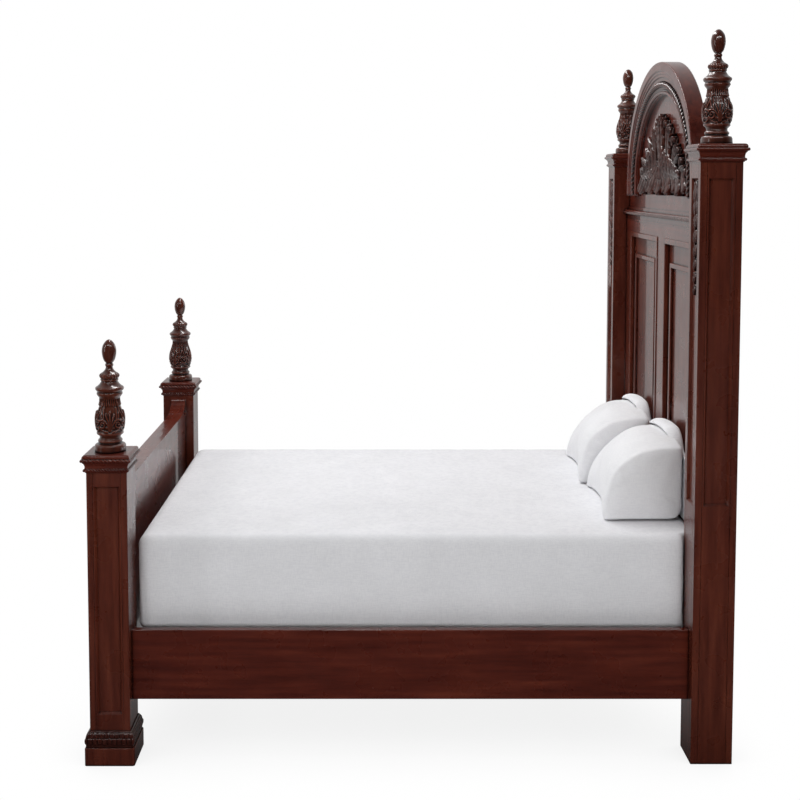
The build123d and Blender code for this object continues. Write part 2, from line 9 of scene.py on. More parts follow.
import bmesh
import bpy
import numpy as np
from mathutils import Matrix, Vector


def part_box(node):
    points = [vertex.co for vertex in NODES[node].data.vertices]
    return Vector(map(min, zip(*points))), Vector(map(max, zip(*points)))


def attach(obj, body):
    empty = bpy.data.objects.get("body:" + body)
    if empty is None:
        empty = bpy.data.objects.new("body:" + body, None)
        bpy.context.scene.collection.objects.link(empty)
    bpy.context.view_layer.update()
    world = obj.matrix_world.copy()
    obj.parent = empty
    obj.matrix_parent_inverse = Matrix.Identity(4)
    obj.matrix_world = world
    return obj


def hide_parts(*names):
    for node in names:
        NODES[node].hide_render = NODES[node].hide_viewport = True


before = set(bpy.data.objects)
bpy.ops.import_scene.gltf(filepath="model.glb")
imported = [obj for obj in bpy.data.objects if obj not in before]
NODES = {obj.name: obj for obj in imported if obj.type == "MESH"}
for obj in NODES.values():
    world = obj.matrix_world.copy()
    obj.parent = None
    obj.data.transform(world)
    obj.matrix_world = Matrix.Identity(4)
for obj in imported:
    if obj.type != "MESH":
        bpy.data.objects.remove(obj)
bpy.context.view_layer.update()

MM = 0.001


# Places read from the frame
def middle(node):
    """Centre of a CAD node's box."""
    low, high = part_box(node)
    return (low + high) / 2


HEAD_AXIS = middle("head_finial_right")
FOOT_AXIS = middle("foot_finial_right")


# Camera, lights and floor
CAMERA_OUT = 4.51               # from the head post's axis, away from the bed's right side
CAMERA_ALONG = 1.001            # from the foot post's axis towards the head
CAMERA_HEIGHT = 2.172
CAMERA_DIP = 0.0664             # how far it looks below the level, in radians
NEAR_SIDE = 0.015               # what gloss sees of the room on the camera's side
FAR_SIDE = 0.60                 # and behind the bed
AMBIENT = 0.06
FLOOR_REACH = 40.0


def add_object(name, data):
    """A new object in the scene."""
    added = bpy.data.objects.new(name, data)
    bpy.context.scene.collection.objects.link(added)
    return added


def make_camera():
    """A camera off the bed's right side, a little above the mattress."""
    data = bpy.data.cameras.new("camera")
    data.sensor_width = 36.0
    data.lens = 55.1
    data.shift_x = 0.0264
    data.shift_y = -0.1725
    camera = add_object("camera", data)
    camera.location = (HEAD_AXIS.x + CAMERA_OUT, FOOT_AXIS.y + CAMERA_ALONG, CAMERA_HEIGHT)
    camera.rotation_euler = (math.pi / 2 - CAMERA_DIP, 0, math.pi / 2)
    bpy.context.scene.camera = camera


def area_light(name, place, aim, size, power, glossy=True):
    """A soft box that faces a point; glossy says whether it shows in reflections."""
    data = bpy.data.lights.new(name, "AREA")
    data.shape = "RECTANGLE"
    data.size, data.size_y = size
    data.energy = power
    light = add_object(name, data)
    light.location = place
    light.rotation_euler = (Vector(aim) - Vector(place)).to_track_quat("-Z", "Y").to_euler()
    light.visible_glossy = glossy
    light.visible_camera = False


def make_lights():
    area_light("overhead", (-0.55, -0.3, 4.6), (-0.3, -0.3, 0), (0.4, 3.4), 78)
    area_light("overhead_fill", (-2.2, -0.5, 4.6), (0.1, -0.1, 0.8), (2.4, 5.0), 80, glossy=False)
    area_light("side_key", (3.0, -0.05, 0.9), (0, -0.05, 0.7), (4.2, 0.6), 24, glossy=False)
    area_light("floor_bounce", (2.15, -0.05, 0.03), (2.15, -0.05, 3), (2.1, 3.9), 6, glossy=False)
    area_light("side_strip", (3.4, 0.0, 4.2), (0.8, 0.0, 1.6), (5.6, 0.16), 60)
    area_light("foot_side", (-0.5, -4.6, 2.9), (0, 0.6, 0.9), (2.4, 1.8), 62, glossy=False)
    area_light("foot_strip", (2.2, -3.9, 2.4), (0.4, 0, 1.5), (0.15, 2.6), 18)
    area_light("back_fill", (-3.6, 3.4, 2.6), (0, 0.6, 1.0), (2.0, 2.0), 30)


def make_world():
    """A white room, whose far side shows in the lacquer and whose near side is dark in it."""
    world = bpy.data.worlds.new("studio")
    bpy.context.scene.world = world
    world.use_nodes = True
    tree = world.node_tree
    tree.nodes.clear()
    across = map_range(tree, coordinate_x(tree, "Generated"), 0.5, -0.5, NEAR_SIDE, FAR_SIDE)
    path = new_node(tree, "LightPath")
    glossy = mixed(tree, "MIX", path.outputs["Is Glossy Ray"], AMBIENT, across)
    seen = mixed(tree, "MIX", path.outputs["Is Camera Ray"], glossy, 1.0)
    background = new_node(tree, "Background", {"Color": seen})
    new_node(tree, "OutputWorld", {0: background.outputs[0]})
    bpy.context.scene.view_settings.view_transform = "Standard"


def make_floor():
    """A pale seamless floor that glows near white to the camera, with a faint painted shadow under
    the bed.
    """
    mesh = bpy.data.meshes.new("floor")
    corners = ((-1, -1), (1, -1), (1, 1), (-1, 1))
    mesh.from_pydata([(x * FLOOR_REACH, y * FLOOR_REACH, 0) for x, y in corners], [],
                     [(0, 1, 2, 3)])
    floor = add_object("floor", mesh)
    material, tree, shader = shader_of("pale_floor")
    feed(tree, shader, {"Base Color": rgba(0.45), "Roughness": 0.9, "Specular IOR Level": 0.0})
    # In reflections the floor glows, dark on the camera's side and bright behind the bed.
    across = map_range(tree, coordinate_x(tree, "Object"), 0.9, -1.2, NEAR_SIDE, FAR_SIDE * 0.9)
    # Painted shadow: the camera sees the floor's glow darkened where the bed stands close over it.
    shade = ramp(tree, shelter(tree, 0.5), [(0.0, 0.80), (0.85, 1.0)])
    path = new_node(tree, "LightPath")
    surface = shader.outputs[0]
    for ray, sight in (("Is Glossy Ray", across), ("Is Camera Ray", shade)):
        glow = new_node(tree, "Emission", {"Color": sight})
        pick = {0: path.outputs[ray], 1: surface, 2: glow.outputs[0]}
        surface = new_node(tree, "MixShader", pick).outputs[0]
    tree.links.new(surface, tree.nodes["Material Output"].inputs[0])
    mesh.materials.append(material)


# Material helpers
def shader_of(name):
    """A new material, its node tree and its Principled shader."""
    material = bpy.data.materials.new(name)
    material.use_nodes = True
    return material, material.node_tree, material.node_tree.nodes["Principled BSDF"]


def feed(tree, node, values):
    """Give a node's inputs their values, or link them where the value is a socket."""
    for key, value in values.items():
        if isinstance(value, bpy.types.NodeSocket):
            tree.links.new(value, node.inputs[key])
        else:
            node.inputs[key].default_value = value


def new_node(tree, kind, values=()):
    node = tree.nodes.new("ShaderNode" + kind)
    feed(tree, node, dict(values))
    return node


def rgba(value):
    """A grey or a colour as four numbers; a socket stays as it is."""
    if isinstance(value, bpy.types.NodeSocket):
        return value
    return (*value, 1) if hasattr(value, "__len__") else (value, value, value, 1)


def coordinate_x(tree, kind):
    coordinates = new_node(tree, "TexCoord")
    return new_node(tree, "SeparateXYZ", {0: coordinates.outputs[kind]}).outputs["X"]


def map_range(tree, value, start, end, to_start, to_end):
    node = new_node(tree, "MapRange", {0: value, "From Min": start, "From Max": end,
                                       "To Min": to_start, "To Max": to_end})
    return node.outputs[0]


def shelter(tree, distance):
    """How open a place is: 0 deep in a corner, 1 where nothing stands within the distance."""
    node = new_node(tree, "AmbientOcclusion", {"Distance": distance})
    node.samples = 16
    return node.outputs["AO"]


def object_coordinates(tree, stretch=(1, 1, 1)):
    """Object coordinates, scaled along each axis."""
    coordinates = new_node(tree, "TexCoord").outputs["Object"]
    return new_node(tree, "Mapping", {0: coordinates, "Scale": stretch}).outputs[0]


def noise(tree, vector, scale, detail=4.0, roughness=0.55, distortion=0.0):
    node = new_node(tree, "TexNoise", {"Vector": vector, "Scale": scale, "Detail": detail,
                                       "Roughness": roughness, "Distortion": distortion})
    return node.outputs["Fac"]


def wave(tree, vector, axis, scale, distortion=0.0, detail_scale=1.0):
    node = new_node(tree, "TexWave", {"Vector": vector, "Scale": scale, "Distortion": distortion,
                                      "Detail Scale": detail_scale})
    node.bands_direction = axis
    return node.outputs["Fac"]


def ramp(tree, value, stops):
    """A colour ramp; stops are (position, grey or colour)."""
    node = new_node(tree, "ValToRGB", {0: value})
    elements = node.color_ramp.elements
    while len(elements) < len(stops):
        elements.new(0.5)
    for element, (position, color) in zip(elements, stops):
        element.position = position
        element.color = rgba(color)
    return node.outputs[0]


def mixed(tree, kind, factor, a, b):
    """A colour mix; factor, a and b are sockets or values."""
    node = new_node(tree, "Mix")
    node.data_type = "RGBA"
    node.blend_type = kind
    feed(tree, node, {0: factor, 6: rgba(a), 7: rgba(b)})
    return node.outputs[2]


def bump(tree, height, distance, strength):
    node = new_node(tree, "Bump", {"Height": height, "Distance": distance, "Strength": strength})
    return node.outputs[0]


# Materials
def lacquered_wood(name, along, tones, coat=0.55, corner_shade_reach=0.012, crease_shade_and_wear=False):
    """Stained cherry under gloss lacquer, with its grain along one axis.

    How wide a corner the painted shade fills is given after the coat: the colour is darkened in
    corners and recesses, as shadow and dark glaze would darken them.
    The last switch paints shade into carved creases, lightens carved edges as wear, and makes the
    hollows matte.
    """
    material, tree, shader = shader_of(name)
    stretched = object_coordinates(tree, [0.07 if axis == along else 1.0 for axis in "xyz"])
    half_stretched = object_coordinates(tree, [0.4 if axis == along else 1.0 for axis in "xyz"])
    dark, mid, light = tones
    streaks = noise(tree, stretched, 42, 8, 0.62, 0.1)
    mottle = noise(tree, half_stretched, 6, 2, 0.5)
    pores = noise(tree, stretched, 420, 3, 0.6)
    color = ramp(tree, streaks, [(0.30, dark), (0.52, mid), (0.74, light)])
    cloud = ramp(tree, mottle, [(0.34, (0.88, 0.86, 0.86)), (0.5, (1.0, 1.0, 1.0)),
                                (0.68, (1.12, 1.16, 1.08))])
    color = mixed(tree, "MULTIPLY", 1.0, color, cloud)
    specks = ramp(tree, pores, [(0.36, 0.55), (0.47, 1.0)])
    color = mixed(tree, "MULTIPLY", 0.28, color, specks)
    # Painted shade: the colour is darkened in corners and recesses, as shadow and dark glaze would
    # darken them.
    openness = shelter(tree, corner_shade_reach)
    painted_corner_shade = ramp(tree, openness, [(0.25, 0.03), (0.65, 0.34), (0.90, 1.0)])
    color = mixed(tree, "MULTIPLY", 1.0, color, painted_corner_shade)
    smear = noise(tree, object_coordinates(tree), 9, 3, 0.5)
    roughness = ramp(tree, smear, [(0.3, 0.25), (0.7, 0.33)])
    if crease_shade_and_wear:
        open_wood = ramp(tree, openness, [(0.35, 0.0), (0.85, 1.0)])
        roughness = mixed(tree, "MIX", open_wood, 0.62, roughness)
        coat = mixed(tree, "MULTIPLY", 1.0, open_wood, coat)
        # Painted shade in carved creases, and lighter carved edges as wear.
        edges = ramp(tree, new_node(tree, "NewGeometry").outputs["Pointiness"],
                     [(0.44, 0.2), (0.49, 0.7), (0.51, 1.0), (0.57, 2.0)])
        color = mixed(tree, "MULTIPLY", 1.0, color, edges)
    height = mixed(tree, "MULTIPLY", 0.5, ramp(tree, streaks, [(0.2, 0.0), (0.8, 1.0)]), specks)
    feed(tree, shader, {"Base Color": color, "Roughness": roughness, "Specular IOR Level": 0.32,
                        "Coat Weight": coat, "Coat Roughness": 0.045, "Coat IOR": 1.45,
                        "Normal": bump(tree, height, 0.0001, 0.25)})
    return material


def raw_pine():
    """Planed softwood: pale, with clear growth lines and a few darker streaks."""
    material, tree, shader = shader_of("planed_pine")
    vector = object_coordinates(tree, (0.12, 1, 1))
    lines = wave(tree, vector, "Z", 22, 5.0, 1.5)
    tint = noise(tree, vector, 6, 5)
    color = ramp(tree, lines, [(0.1, (0.62, 0.40, 0.20)), (0.6, (0.74, 0.54, 0.32))])
    color = mixed(tree, "MULTIPLY", 0.5, color, ramp(tree, tint, [(0.3, 0.72), (0.7, 1.0)]))
    feed(tree, shader, {"Base Color": color, "Roughness": 0.7,
                        "Normal": bump(tree, lines, 0.0004, 0.4)})
    return material


def zinc_steel():
    """Zinc plate: grey metal with a faint crystal pattern and scuffs."""
    material, tree, shader = shader_of("zinc_steel")
    vector = object_coordinates(tree)
    cells = new_node(tree, "TexVoronoi", {"Vector": vector, "Scale": 180})
    scuffs = noise(tree, vector, 60, 6, 0.7)
    tone = mixed(tree, "MIX", 0.5, cells.outputs["Color"], scuffs)
    color = ramp(tree, tone, [(0.2, (0.42, 0.43, 0.42)), (0.8, (0.66, 0.66, 0.62))])
    roughness = ramp(tree, scuffs, [(0.3, 0.28), (0.7, 0.5)])
    feed(tree, shader, {"Base Color": color, "Metallic": 1.0, "Roughness": roughness,
                        "Normal": bump(tree, scuffs, 0.0002, 0.3)})
    return material


def woven(name, tone, shade, thread, slub=0.5):
    """Plain-woven cotton: two crossed sets of threads, with slubs and soft cloudiness."""
    material, tree, shader = shader_of(name)
    vector = object_coordinates(tree)
    threads = None
    for axis in "XYZ":
        bands = wave(tree, vector, axis, 1 / thread, 0.6, 2.0)
        threads = bands if threads is None else mixed(tree, "MULTIPLY", 0.6, threads, bands)
    slubs = mixed(tree, "MULTIPLY", 1.0,
                  noise(tree, object_coordinates(tree, (0.12, 0.12, 1)), 380, 3, 0.6),
                  noise(tree, object_coordinates(tree, (1, 1, 0.12)), 380, 3, 0.6))
    color = ramp(tree, slubs, [(0.12, shade), (0.32, tone)])
    color = mixed(tree, "MIX", 1 - slub, color, tone)
    color = mixed(tree, "MULTIPLY", 0.12, color, noise(tree, vector, 7, 3))
    height = mixed(tree, "ADD", 0.5, threads, slubs)
    feed(tree, shader, {"Base Color": color, "Roughness": 0.88, "Specular IOR Level": 0.2,
                        "Sheen Weight": 0.12, "Sheen Roughness": 0.5,
                        "Normal": bump(tree, height, 0.00035, 0.45)})
    return material


def ticking():
    """Box spring ticking: off-white twill with thin grey stripes."""
    material, tree, shader = shader_of("striped_ticking")
    vector = object_coordinates(tree)
    stripes = wave(tree, vector, "X", 12, 0.0)
    twill = wave(tree, vector, "DIAGONAL", 420, 0.4)
    color = ramp(tree, stripes, [(0.86, (0.74, 0.73, 0.69)), (0.90, (0.30, 0.32, 0.36))])
    color = mixed(tree, "MULTIPLY", 0.15, color, noise(tree, vector, 300, 3))
    feed(tree, shader, {"Base Color": color, "Roughness": 0.9,
                        "Normal": bump(tree, twill, 0.0004, 0.5)})
    return material


# Dark, middle and light tones of the grain.
CHERRY = ((0.050, 0.0070, 0.0042), (0.085, 0.0132, 0.0070), (0.124, 0.0222, 0.0110))
UPRIGHT = ((0.053, 0.0096, 0.0055), (0.090, 0.0178, 0.0094), (0.132, 0.0300, 0.0152))
TURNED = ((0.042, 0.0088, 0.0052), (0.078, 0.0175, 0.0092), (0.118, 0.0290, 0.0150))
CARVED = ((0.022, 0.0046, 0.0032), (0.040, 0.0086, 0.0056), (0.064, 0.0150, 0.0090))
# Cotton's own tone, and its shaded one.
SHEET = ((0.83, 0.83, 0.85), (0.66, 0.66, 0.70))
PILLOW = ((0.87, 0.87, 0.885), (0.72, 0.72, 0.76))

GRAIN_X = ("headboard_top_rail", "headboard_bottom_rail", "headboard_field",
           "headboard_frieze_moulding", "footboard_top_rail", "footboard_bottom_rail",
           "footboard_inner_sheet")
GRAIN_Y = ("side_rail_left", "side_rail_right")
PINE = ("slats", "center_legs", "rail_ledger_left", "rail_ledger_right")
STEEL = ("finial_pins", "ledger_screws", "post_slot_plates", "rail_hook_plates",
         "leveling_glide_1", "leveling_glide_2", "leveling_glide_3")


def make_materials():
    return {
        "cherry_x": lacquered_wood("cherry_x", "x", CHERRY),
        "cherry_y": lacquered_wood("cherry_y", "y", CHERRY),
        "cherry_z": lacquered_wood("cherry_z", "z", UPRIGHT),
        "turned": lacquered_wood("turned_cherry", "z", TURNED, 0.9, 0.014, crease_shade_and_wear=True),
        "carved": lacquered_wood("carved_cherry", "z", CARVED, 0.9, 0.035, crease_shade_and_wear=True),
        "pine": raw_pine(),
        "steel": zinc_steel(),
        "sheet": woven("sheet_cotton", *SHEET, 0.0016),
        "pillow": woven("pillow_cotton", *PILLOW, 0.0014, slub=0.4),
        "ticking": ticking()}


def paint_cad(made):
    """A procedural material on every CAD node, with the grain along each board."""
    for node, piece in NODES.items():
        if node in PINE:
            material = made["pine"]
        elif node in STEEL:
            material = made["steel"]
        else:
            axis = "x" if node in GRAIN_X else "y" if node in GRAIN_Y else "z"
            material = made["cherry_" + axis]
        piece.data.materials.clear()
        piece.data.materials.append(material)


# Mesh helpers
def new_piece(name, points, faces, material, slot, body, replaced=()):
    """A mesh piece from points in millimetres, smooth shaded and riding on a body."""
    mesh = bpy.data.meshes.new(name)
    metres = [tuple(float(v) * MM for v in point) for point in points]
    mesh.from_pydata(metres, [], [tuple(face) for face in faces])
    work = bmesh.new()
    work.from_mesh(mesh)
    bmesh.ops.remove_doubles(work, verts=work.verts, dist=0.00002)
    bmesh.ops.recalc_face_normals(work, faces=work.faces)
    work.to_mesh(mesh)
    work.free()
    mesh.validate()
    shade_smooth(mesh)
    mesh.materials.append(material)
    piece = add_object(name, mesh)
    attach(piece, body)
    if replaced:
        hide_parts(*replaced)
    return piece


def shade_smooth(mesh):
    for polygon in mesh.polygons:
        polygon.use_smooth = True


def curve_through(points, steps):
    """A Catmull-Rom curve through points, with the given number of steps between each two."""
    known = np.array(points, float)
    padded = np.vstack([2 * known[0] - known[1], known, 2 * known[-1] - known[-2]])
    out = []
    for index in range(len(known) - 1):
        a, b, c, d = padded[index:index + 4]
        for t in np.arange(steps) / steps:
            out.append(0.5 * (2 * b + (c - a) * t + (2 * a - 5 * b + 4 * c - d) * t ** 2
                              + (3 * b - a - 3 * c + d) * t ** 3))
    out.append(known[-1])
    return np.array(out)


def distances(line):
    """How far along a line each of its points is."""
    return np.concatenate([[0], np.cumsum(np.linalg.norm(np.diff(line, axis=0), axis=1))])


def points_at(line, along, places):
    """The points of a flat line at some distances along it."""
    return np.stack([np.interp(places, along, line[:, i]) for i in (0, 1)], 1)


def stretches(parts, step):
    """Join several smooth stretches of a profile, keeping the corners between them sharp."""
    line = []
    for part in parts:
        run = curve_through(part, 8)
        along = distances(run)
        count = max(2, int(round(along[-1] / step)) + 1)
        line.append(points_at(run, along, np.linspace(0, along[-1], count)))
    return np.vstack([line[0]] + [run[1:] for run in line[1:]])


def closed_curve(points, count):
    """A smooth closed loop through points, evenly divided."""
    loop = curve_through(list(points) + [points[0]], 12)
    along = distances(loop)
    return points_at(loop, along, np.linspace(0, along[-1], count + 1)[:-1])


def grid_faces(rows, columns, wrap_columns=False, wrap_rows=False):
    """Quads over a grid of points stored row by row."""
    faces = []
    for row in range(rows if wrap_rows else rows - 1):
        below = (row + 1) % rows
        for column in range(columns if wrap_columns else columns - 1):
            right = (column + 1) % columns
            faces.append((row * columns + column, row * columns + right,
                          below * columns + right, below * columns + column))
    return faces


def tube_faces(rows, columns):
    """Quads round a tube of rings, closed at both its ends."""
    ends = [tuple(range(columns)), tuple(range((rows - 1) * columns, rows * columns))]
    return grid_faces(rows, columns, wrap_columns=True) + ends


def merged(shapes):
    """Several (points, faces) as one."""
    points, faces, base = [], [], 0
    for shape_points, shape_faces in shapes:
        points.extend(shape_points)
        faces.extend(tuple(i + base for i in face) for face in shape_faces)
        base += len(shape_points)
    return points, faces


def mirrored(side, *path):
    """A path drawn for the right-hand side, on the side it is wanted."""
    return [(side * x, z) for x, z in path]


def relief(across, up, strokes):
    """Height of carved ridges over a grid; a stroke is (path, start width, end width, height)."""
    height = np.zeros(across.shape)
    for path, width_start, width_end, rise in strokes:
        line = curve_through(path, 10)
        widths = np.linspace(width_start, width_end, len(line))
        for (x, y), width in zip(line, widths):
            near = (across - x) ** 2 + (up - y) ** 2
            height = np.maximum(height, rise * np.sqrt(np.clip(1 - near / width ** 2, 0, 1)))
    return height


# Finials
# Stretches of the turned profile as (radius, height above the cap), in millimetres.
FINIAL_PROFILE = (
    ((0.5, 0.4), (50, 0.4), (55, 0.4)),
    ((55, 0.4), (57, 3), (57.6, 12), (56.6, 22), (53, 27), (47, 29)),
    ((47, 29), (42, 31), (41, 33)),
    ((41, 33), (44, 36), (45, 40), (43.5, 44), (40, 47)),
    ((40, 47), (38.5, 51), (39, 56), (42, 60), (46, 63)),
    ((46, 63), (49, 66), (49.5, 69), (48.5, 72)),
    ((48.5, 72), (49.5, 80), (52.5, 95), (54, 110), (54, 127), (51.5, 142), (47, 158), (42, 174),
     (39, 188), (38.5, 200)),
    ((38.5, 200), (40.5, 204), (43, 207)),
    ((43, 207), (46, 211), (47.5, 216), (46.5, 220), (44, 222)),
    ((44, 222), (47.5, 226), (51, 230), (52.5, 235), (50.5, 240), (46, 243)),
    ((46, 243), (41, 247), (36, 252), (33, 257), (30.5, 261), (30.5, 263)),
    ((30.5, 263), (32.5, 265), (33, 268), (31, 271)),
    ((31, 271), (33, 274), (35.5, 279), (36, 284), (33.5, 289), (28, 293), (22.5, 297), (17, 303),
     (13.5, 310), (12.5, 316)),
    ((12.5, 316), (14.6, 319), (15.2, 322.5), (13.8, 326.5), (11.5, 329)),
    ((11.5, 329), (17.8, 336), (23.2, 349), (26.2, 365), (26.3, 379), (23, 394), (16, 406),
     (8.2, 414), (0.3, 417)))
BULB = (72.0, 200.0)            # heights between which the bulb is carved
CARVED_REPEATS = 4
REPEAT_WIDTH = 88.0             # one carved repeat, round the bulb
REPEAT_POINTS = 60
LEAF_TIPS = 8                   # in one repeat
DISC = (281, 13)                # middle and half height of the gadrooned disc
DISC_LOBES = 20


def bulb_strokes():
    """One repeat of the bulb's carving: a palmette between scrolls, under a ring of leaf tips."""
    strokes = []
    for rib in range(-3, 4):
        angle = math.radians(15 * rib)
        length = 70 - 5.5 * rib * rib
        end = (math.sin(angle) * length, 80 + math.cos(angle) * length)
        bend = (math.sin(angle * 0.7) * length * 0.55,
                80 + math.cos(angle * 0.7) * length * 0.55)
        strokes.append([[(rib * 1.4, 82), bend, end], 3.0, 4.6, 5.0])
    for side in (-1, 1):
        turn = np.linspace(0, 1, 12)
        reach = 16.5 * (1 - turn) ** 0.8 + 1.5
        angle = math.radians(75) + 2 * math.pi * 1.5 * turn
        spiral = np.column_stack([side * (32 - reach * np.cos(angle)), 106 + reach * np.sin(angle)])
        strokes.append([spiral, 4.0, 3.0, 5.5])
        strokes.append([mirrored(side, (30, 122), (36, 140), (44, 160), (44, 184)), 3.5, 4.5, 4.5])
        strokes.append([mirrored(side, (10, 77), (26, 80), (44, 92)), 4.0, 3.0, 4.5])
        strokes.append([mirrored(side, (24, 126), (27, 146), (30, 166)), 3.0, 3.6, 4.0])
    for tip in range(LEAF_TIPS):
        x = (tip - (LEAF_TIPS - 1) / 2) * REPEAT_WIDTH / LEAF_TIPS
        strokes.append([[(x, 176), (x, 196)], 5.0, 3.4, 3.4])
    return strokes


def finial_shape():
    """A finial standing at the origin, in millimetres."""
    profile = stretches(FINIAL_PROFILE, 2.0)
    columns = REPEAT_POINTS * CARVED_REPEATS
    angle = np.arange(columns) / columns * 2 * math.pi
    radius = np.repeat(profile[:, :1], columns, 1)
    height = np.repeat(profile[:, 1:], columns, 1)
    carved = (profile[:, 1] > BULB[0]) & (profile[:, 1] < BULB[1])
    across = ((angle / (2 * math.pi) * CARVED_REPEATS) % 1 - 0.5) * REPEAT_WIDTH
    grid_x, grid_z = np.meshgrid(across, profile[carved, 1])
    edge = np.minimum(grid_z - BULB[0], BULB[1] - grid_z)
    depth = np.clip(edge / 5, 0, 1)
    radius[carved] += (1.3 * relief(grid_x, grid_z, bulb_strokes()) - 4.5) * depth
    disc = np.clip(1 - ((height - DISC[0]) / DISC[1]) ** 2, 0, 1)
    radius += disc * 2.6 * (np.abs(np.sin(angle * DISC_LOBES / 2))[None, :] - 0.6)
    points = np.stack([radius * np.cos(angle), radius * np.sin(angle), height], -1).reshape(-1, 3)
    return points, tube_faces(len(profile), columns)


def make_finials(made):
    points, faces = finial_shape()
    for index, node in enumerate(n for n in NODES if "_finial_" in n):
        place = middle(node) / MM
        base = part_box(node)[0].z / MM
        turn = math.radians(20 + 37 * index)
        c, s = math.cos(turn), math.sin(turn)
        moved = points @ np.array([[c, s, 0], [-s, c, 0], [0, 0, 1]]) + [place.x, place.y, base]
        new_piece("carved_" + node, moved, faces, made["turned"], "carved_cherry", node, [node])


# Caps and collars: mouldings mitred round a post
def mitred(profile, carve, per_side, closed=False):
    """A profile of (distance from the axis, z) taken round a square, with its corners mitred.

    carve(along, out, z) says how far each point is pushed out.
    """
    edges = np.gradient(profile, axis=0)
    normals = np.stack([edges[:, 1], -edges[:, 0]], 1)
    normals /= np.maximum(np.linalg.norm(normals, axis=1, keepdims=True), 1e-9)
    normals *= np.sign(np.sum(normals * (profile - profile.mean(0)), 1).sum()) or 1
    along = np.linspace(-1, 1, per_side + 1)[:-1]
    rings = []
    for (out, z), (push_out, push_up) in zip(profile, normals):
        ring = []
        for c, s in ((1, 0), (0, 1), (-1, 0), (0, -1)):
            for t in along:
                shift = carve(t * out, out, z) * (1 - abs(t) ** 40) if carve else 0
                reach = out + push_out * shift
                side = t * out
                ring.append((c * reach - s * side, s * reach + c * side, z + push_up * shift))
        rings.append(ring)
    rows, columns = len(rings), 4 * per_side
    faces = grid_faces(rows, columns, True, True) if closed else tube_faces(rows, columns)
    return np.array(rings).reshape(-1, 3), faces


CAP_OVERHANG = 18.5             # how far a cap's widest bead stands out from the post
CARVED_SIDE = 150               # points along each side of a carved cap
PLAIN_SIDE = 24                 # and of a plain one


def cap_profile(half):
    """Profile of a post cap, from its top round its widest bead and its cove to its underside."""
    inner = 30 - half
    return stretches((
        ((inner, 0), (2.5, 0)),
        ((2.5, 0), (7.5, -1.5), (11.5, -6), (13, -12.5)),
        ((13, -12.5), (11.5, -14.5)),
        ((11.5, -14.5), (16.5, -16), (CAP_OVERHANG, -21), (16.5, -26), (11.5, -27.5)),
        ((11.5, -27.5), (11, -29.5)),
        ((11, -29.5), (7, -34), (4.2, -42), (4, -51.5)),
        ((4, -51.5), (8, -53), (9.8, -57.5), (8, -62), (4, -63.5)),
        ((4, -63.5), (2, -67)),
        ((2, -67), (inner, -67))), 1.5) + [half, 0]


def rope_cut(along, pitch, depth, slant):
    """Slanting cuts across an edge, a pitch apart."""
    phase = ((along + slant) / pitch) % 1 - 0.5
    return -depth * np.exp(-(phase / 0.16) ** 2)


def foot_cap_carving(along, out, z):
    """Rope cuts on the cap's widest bead and on the small bead under its cove."""
    if -27.6 < z < -14.6:
        return rope_cut(along, 15, 3.2, 0.9 * z)
    if -63.6 < z < -51.6:
        return rope_cut(along, 11, 3.0, 1.0 * z)
    return 0


def make_caps(made):
    for node in (n for n in NODES if "_post_cap_" in n):
        low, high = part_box(node)
        place = middle(node) / MM
        half = (high.x - low.x) / 2 / MM - CAP_OVERHANG
        carve = foot_cap_carving if node.startswith("foot") else None
        points, faces = mitred(cap_profile(half), carve, CARVED_SIDE if carve else PLAIN_SIDE)
        points = points + [place.x, place.y, high.z / MM]
        new_piece("moulded_" + node, points, faces, made["cherry_y"], "cherry", "bed_frame", [node])


COLLAR_LEAF = 18.0              # pitch of the collar's leaves and eggs
LEAVES_TOP = 122
EGGS_TOP = 103
EGGS_FOOT = 79
CARVED_OUT = 77                 # nearer to the post than this, nothing is carved


def arch_over(place):
    """How high a round arch is at a place along a row of them, one apart."""
    return math.sqrt(max(0, 1 - (2 * (place % 1) - 1) ** 2))


def collar_carving(along, out, z):
    """A band of upright leaves above a row of eggs."""
    if z > LEAVES_TOP or z < EGGS_FOOT or out < CARVED_OUT:
        return 0
    place = along / COLLAR_LEAF
    if z > EGGS_TOP:
        vein = -1.1 * math.exp(-((place % 1 - 0.5) / 0.09) ** 2)
        tip = min(1, (LEAVES_TOP - z) / 5)
        return ((arch_over(place) ** 0.7 - 0.55) * 4.2 + vein) * tip
    rounded = min(1, (z - EGGS_FOOT) / 4, (EGGS_TOP - z) / 3)
    return (arch_over(place + 0.5) ** 0.8 - 0.6) * 5.4 * rounded


def make_collars(made):
    profile = stretches((
        ((75.3, 128), (78, 127.6)),
        ((78, 127.6), (79.5, 126), (79.8, 123)),
        ((79.8, 123), (83, 120), (86.5, 113), (88, 105), (88.2, 103)),
        ((88.2, 103), (90, 101), (91.2, 96), (91.3, 90), (90, 83), (88.2, 79)),
        ((88.2, 79), (88, 76), (88, 70), (87, 67.3)),
        ((87.5, 67.3), (75.3, 67.3)),
        ((75.3, 67.3), (75.3, 128))), 1.5)[:-1]
    points, faces = mitred(profile, collar_carving, 130, closed=True)
    for node in ("foot_collar_left", "foot_collar_right"):
        place = middle(node) / MM
        new_piece("carved_" + node, points + [place.x, place.y, 0], faces, made["carved"],
                  "carved_cherry", "bed_frame", [node])


# Crown: mouldings taken round its half ellipse
CROWN_SPRING = 2165.0           # height where the crown's legs turn into its half ellipse
FRIEZE_ROPE_Z = 2016.0
ROPE_STRANDS = 3


def crown_line(inset, steps=150, leg_steps=6):
    """Points (x, z) round the crown at an inset, from its right leg's foot to its left leg's."""
    low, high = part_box("crown_arch")
    half_width = high.x / MM - inset
    rise = high.z / MM - inset - CROWN_SPRING
    heights = np.linspace(low.z / MM, CROWN_SPRING, leg_steps, endpoint=False)
    legs = [(half_width, z) for z in heights]
    arch = [(half_width * math.cos(a), CROWN_SPRING + rise * math.sin(a))
            for a in np.linspace(0, math.pi, steps)]
    return np.array(legs + arch + [(-x, z) for x, z in reversed(legs)])


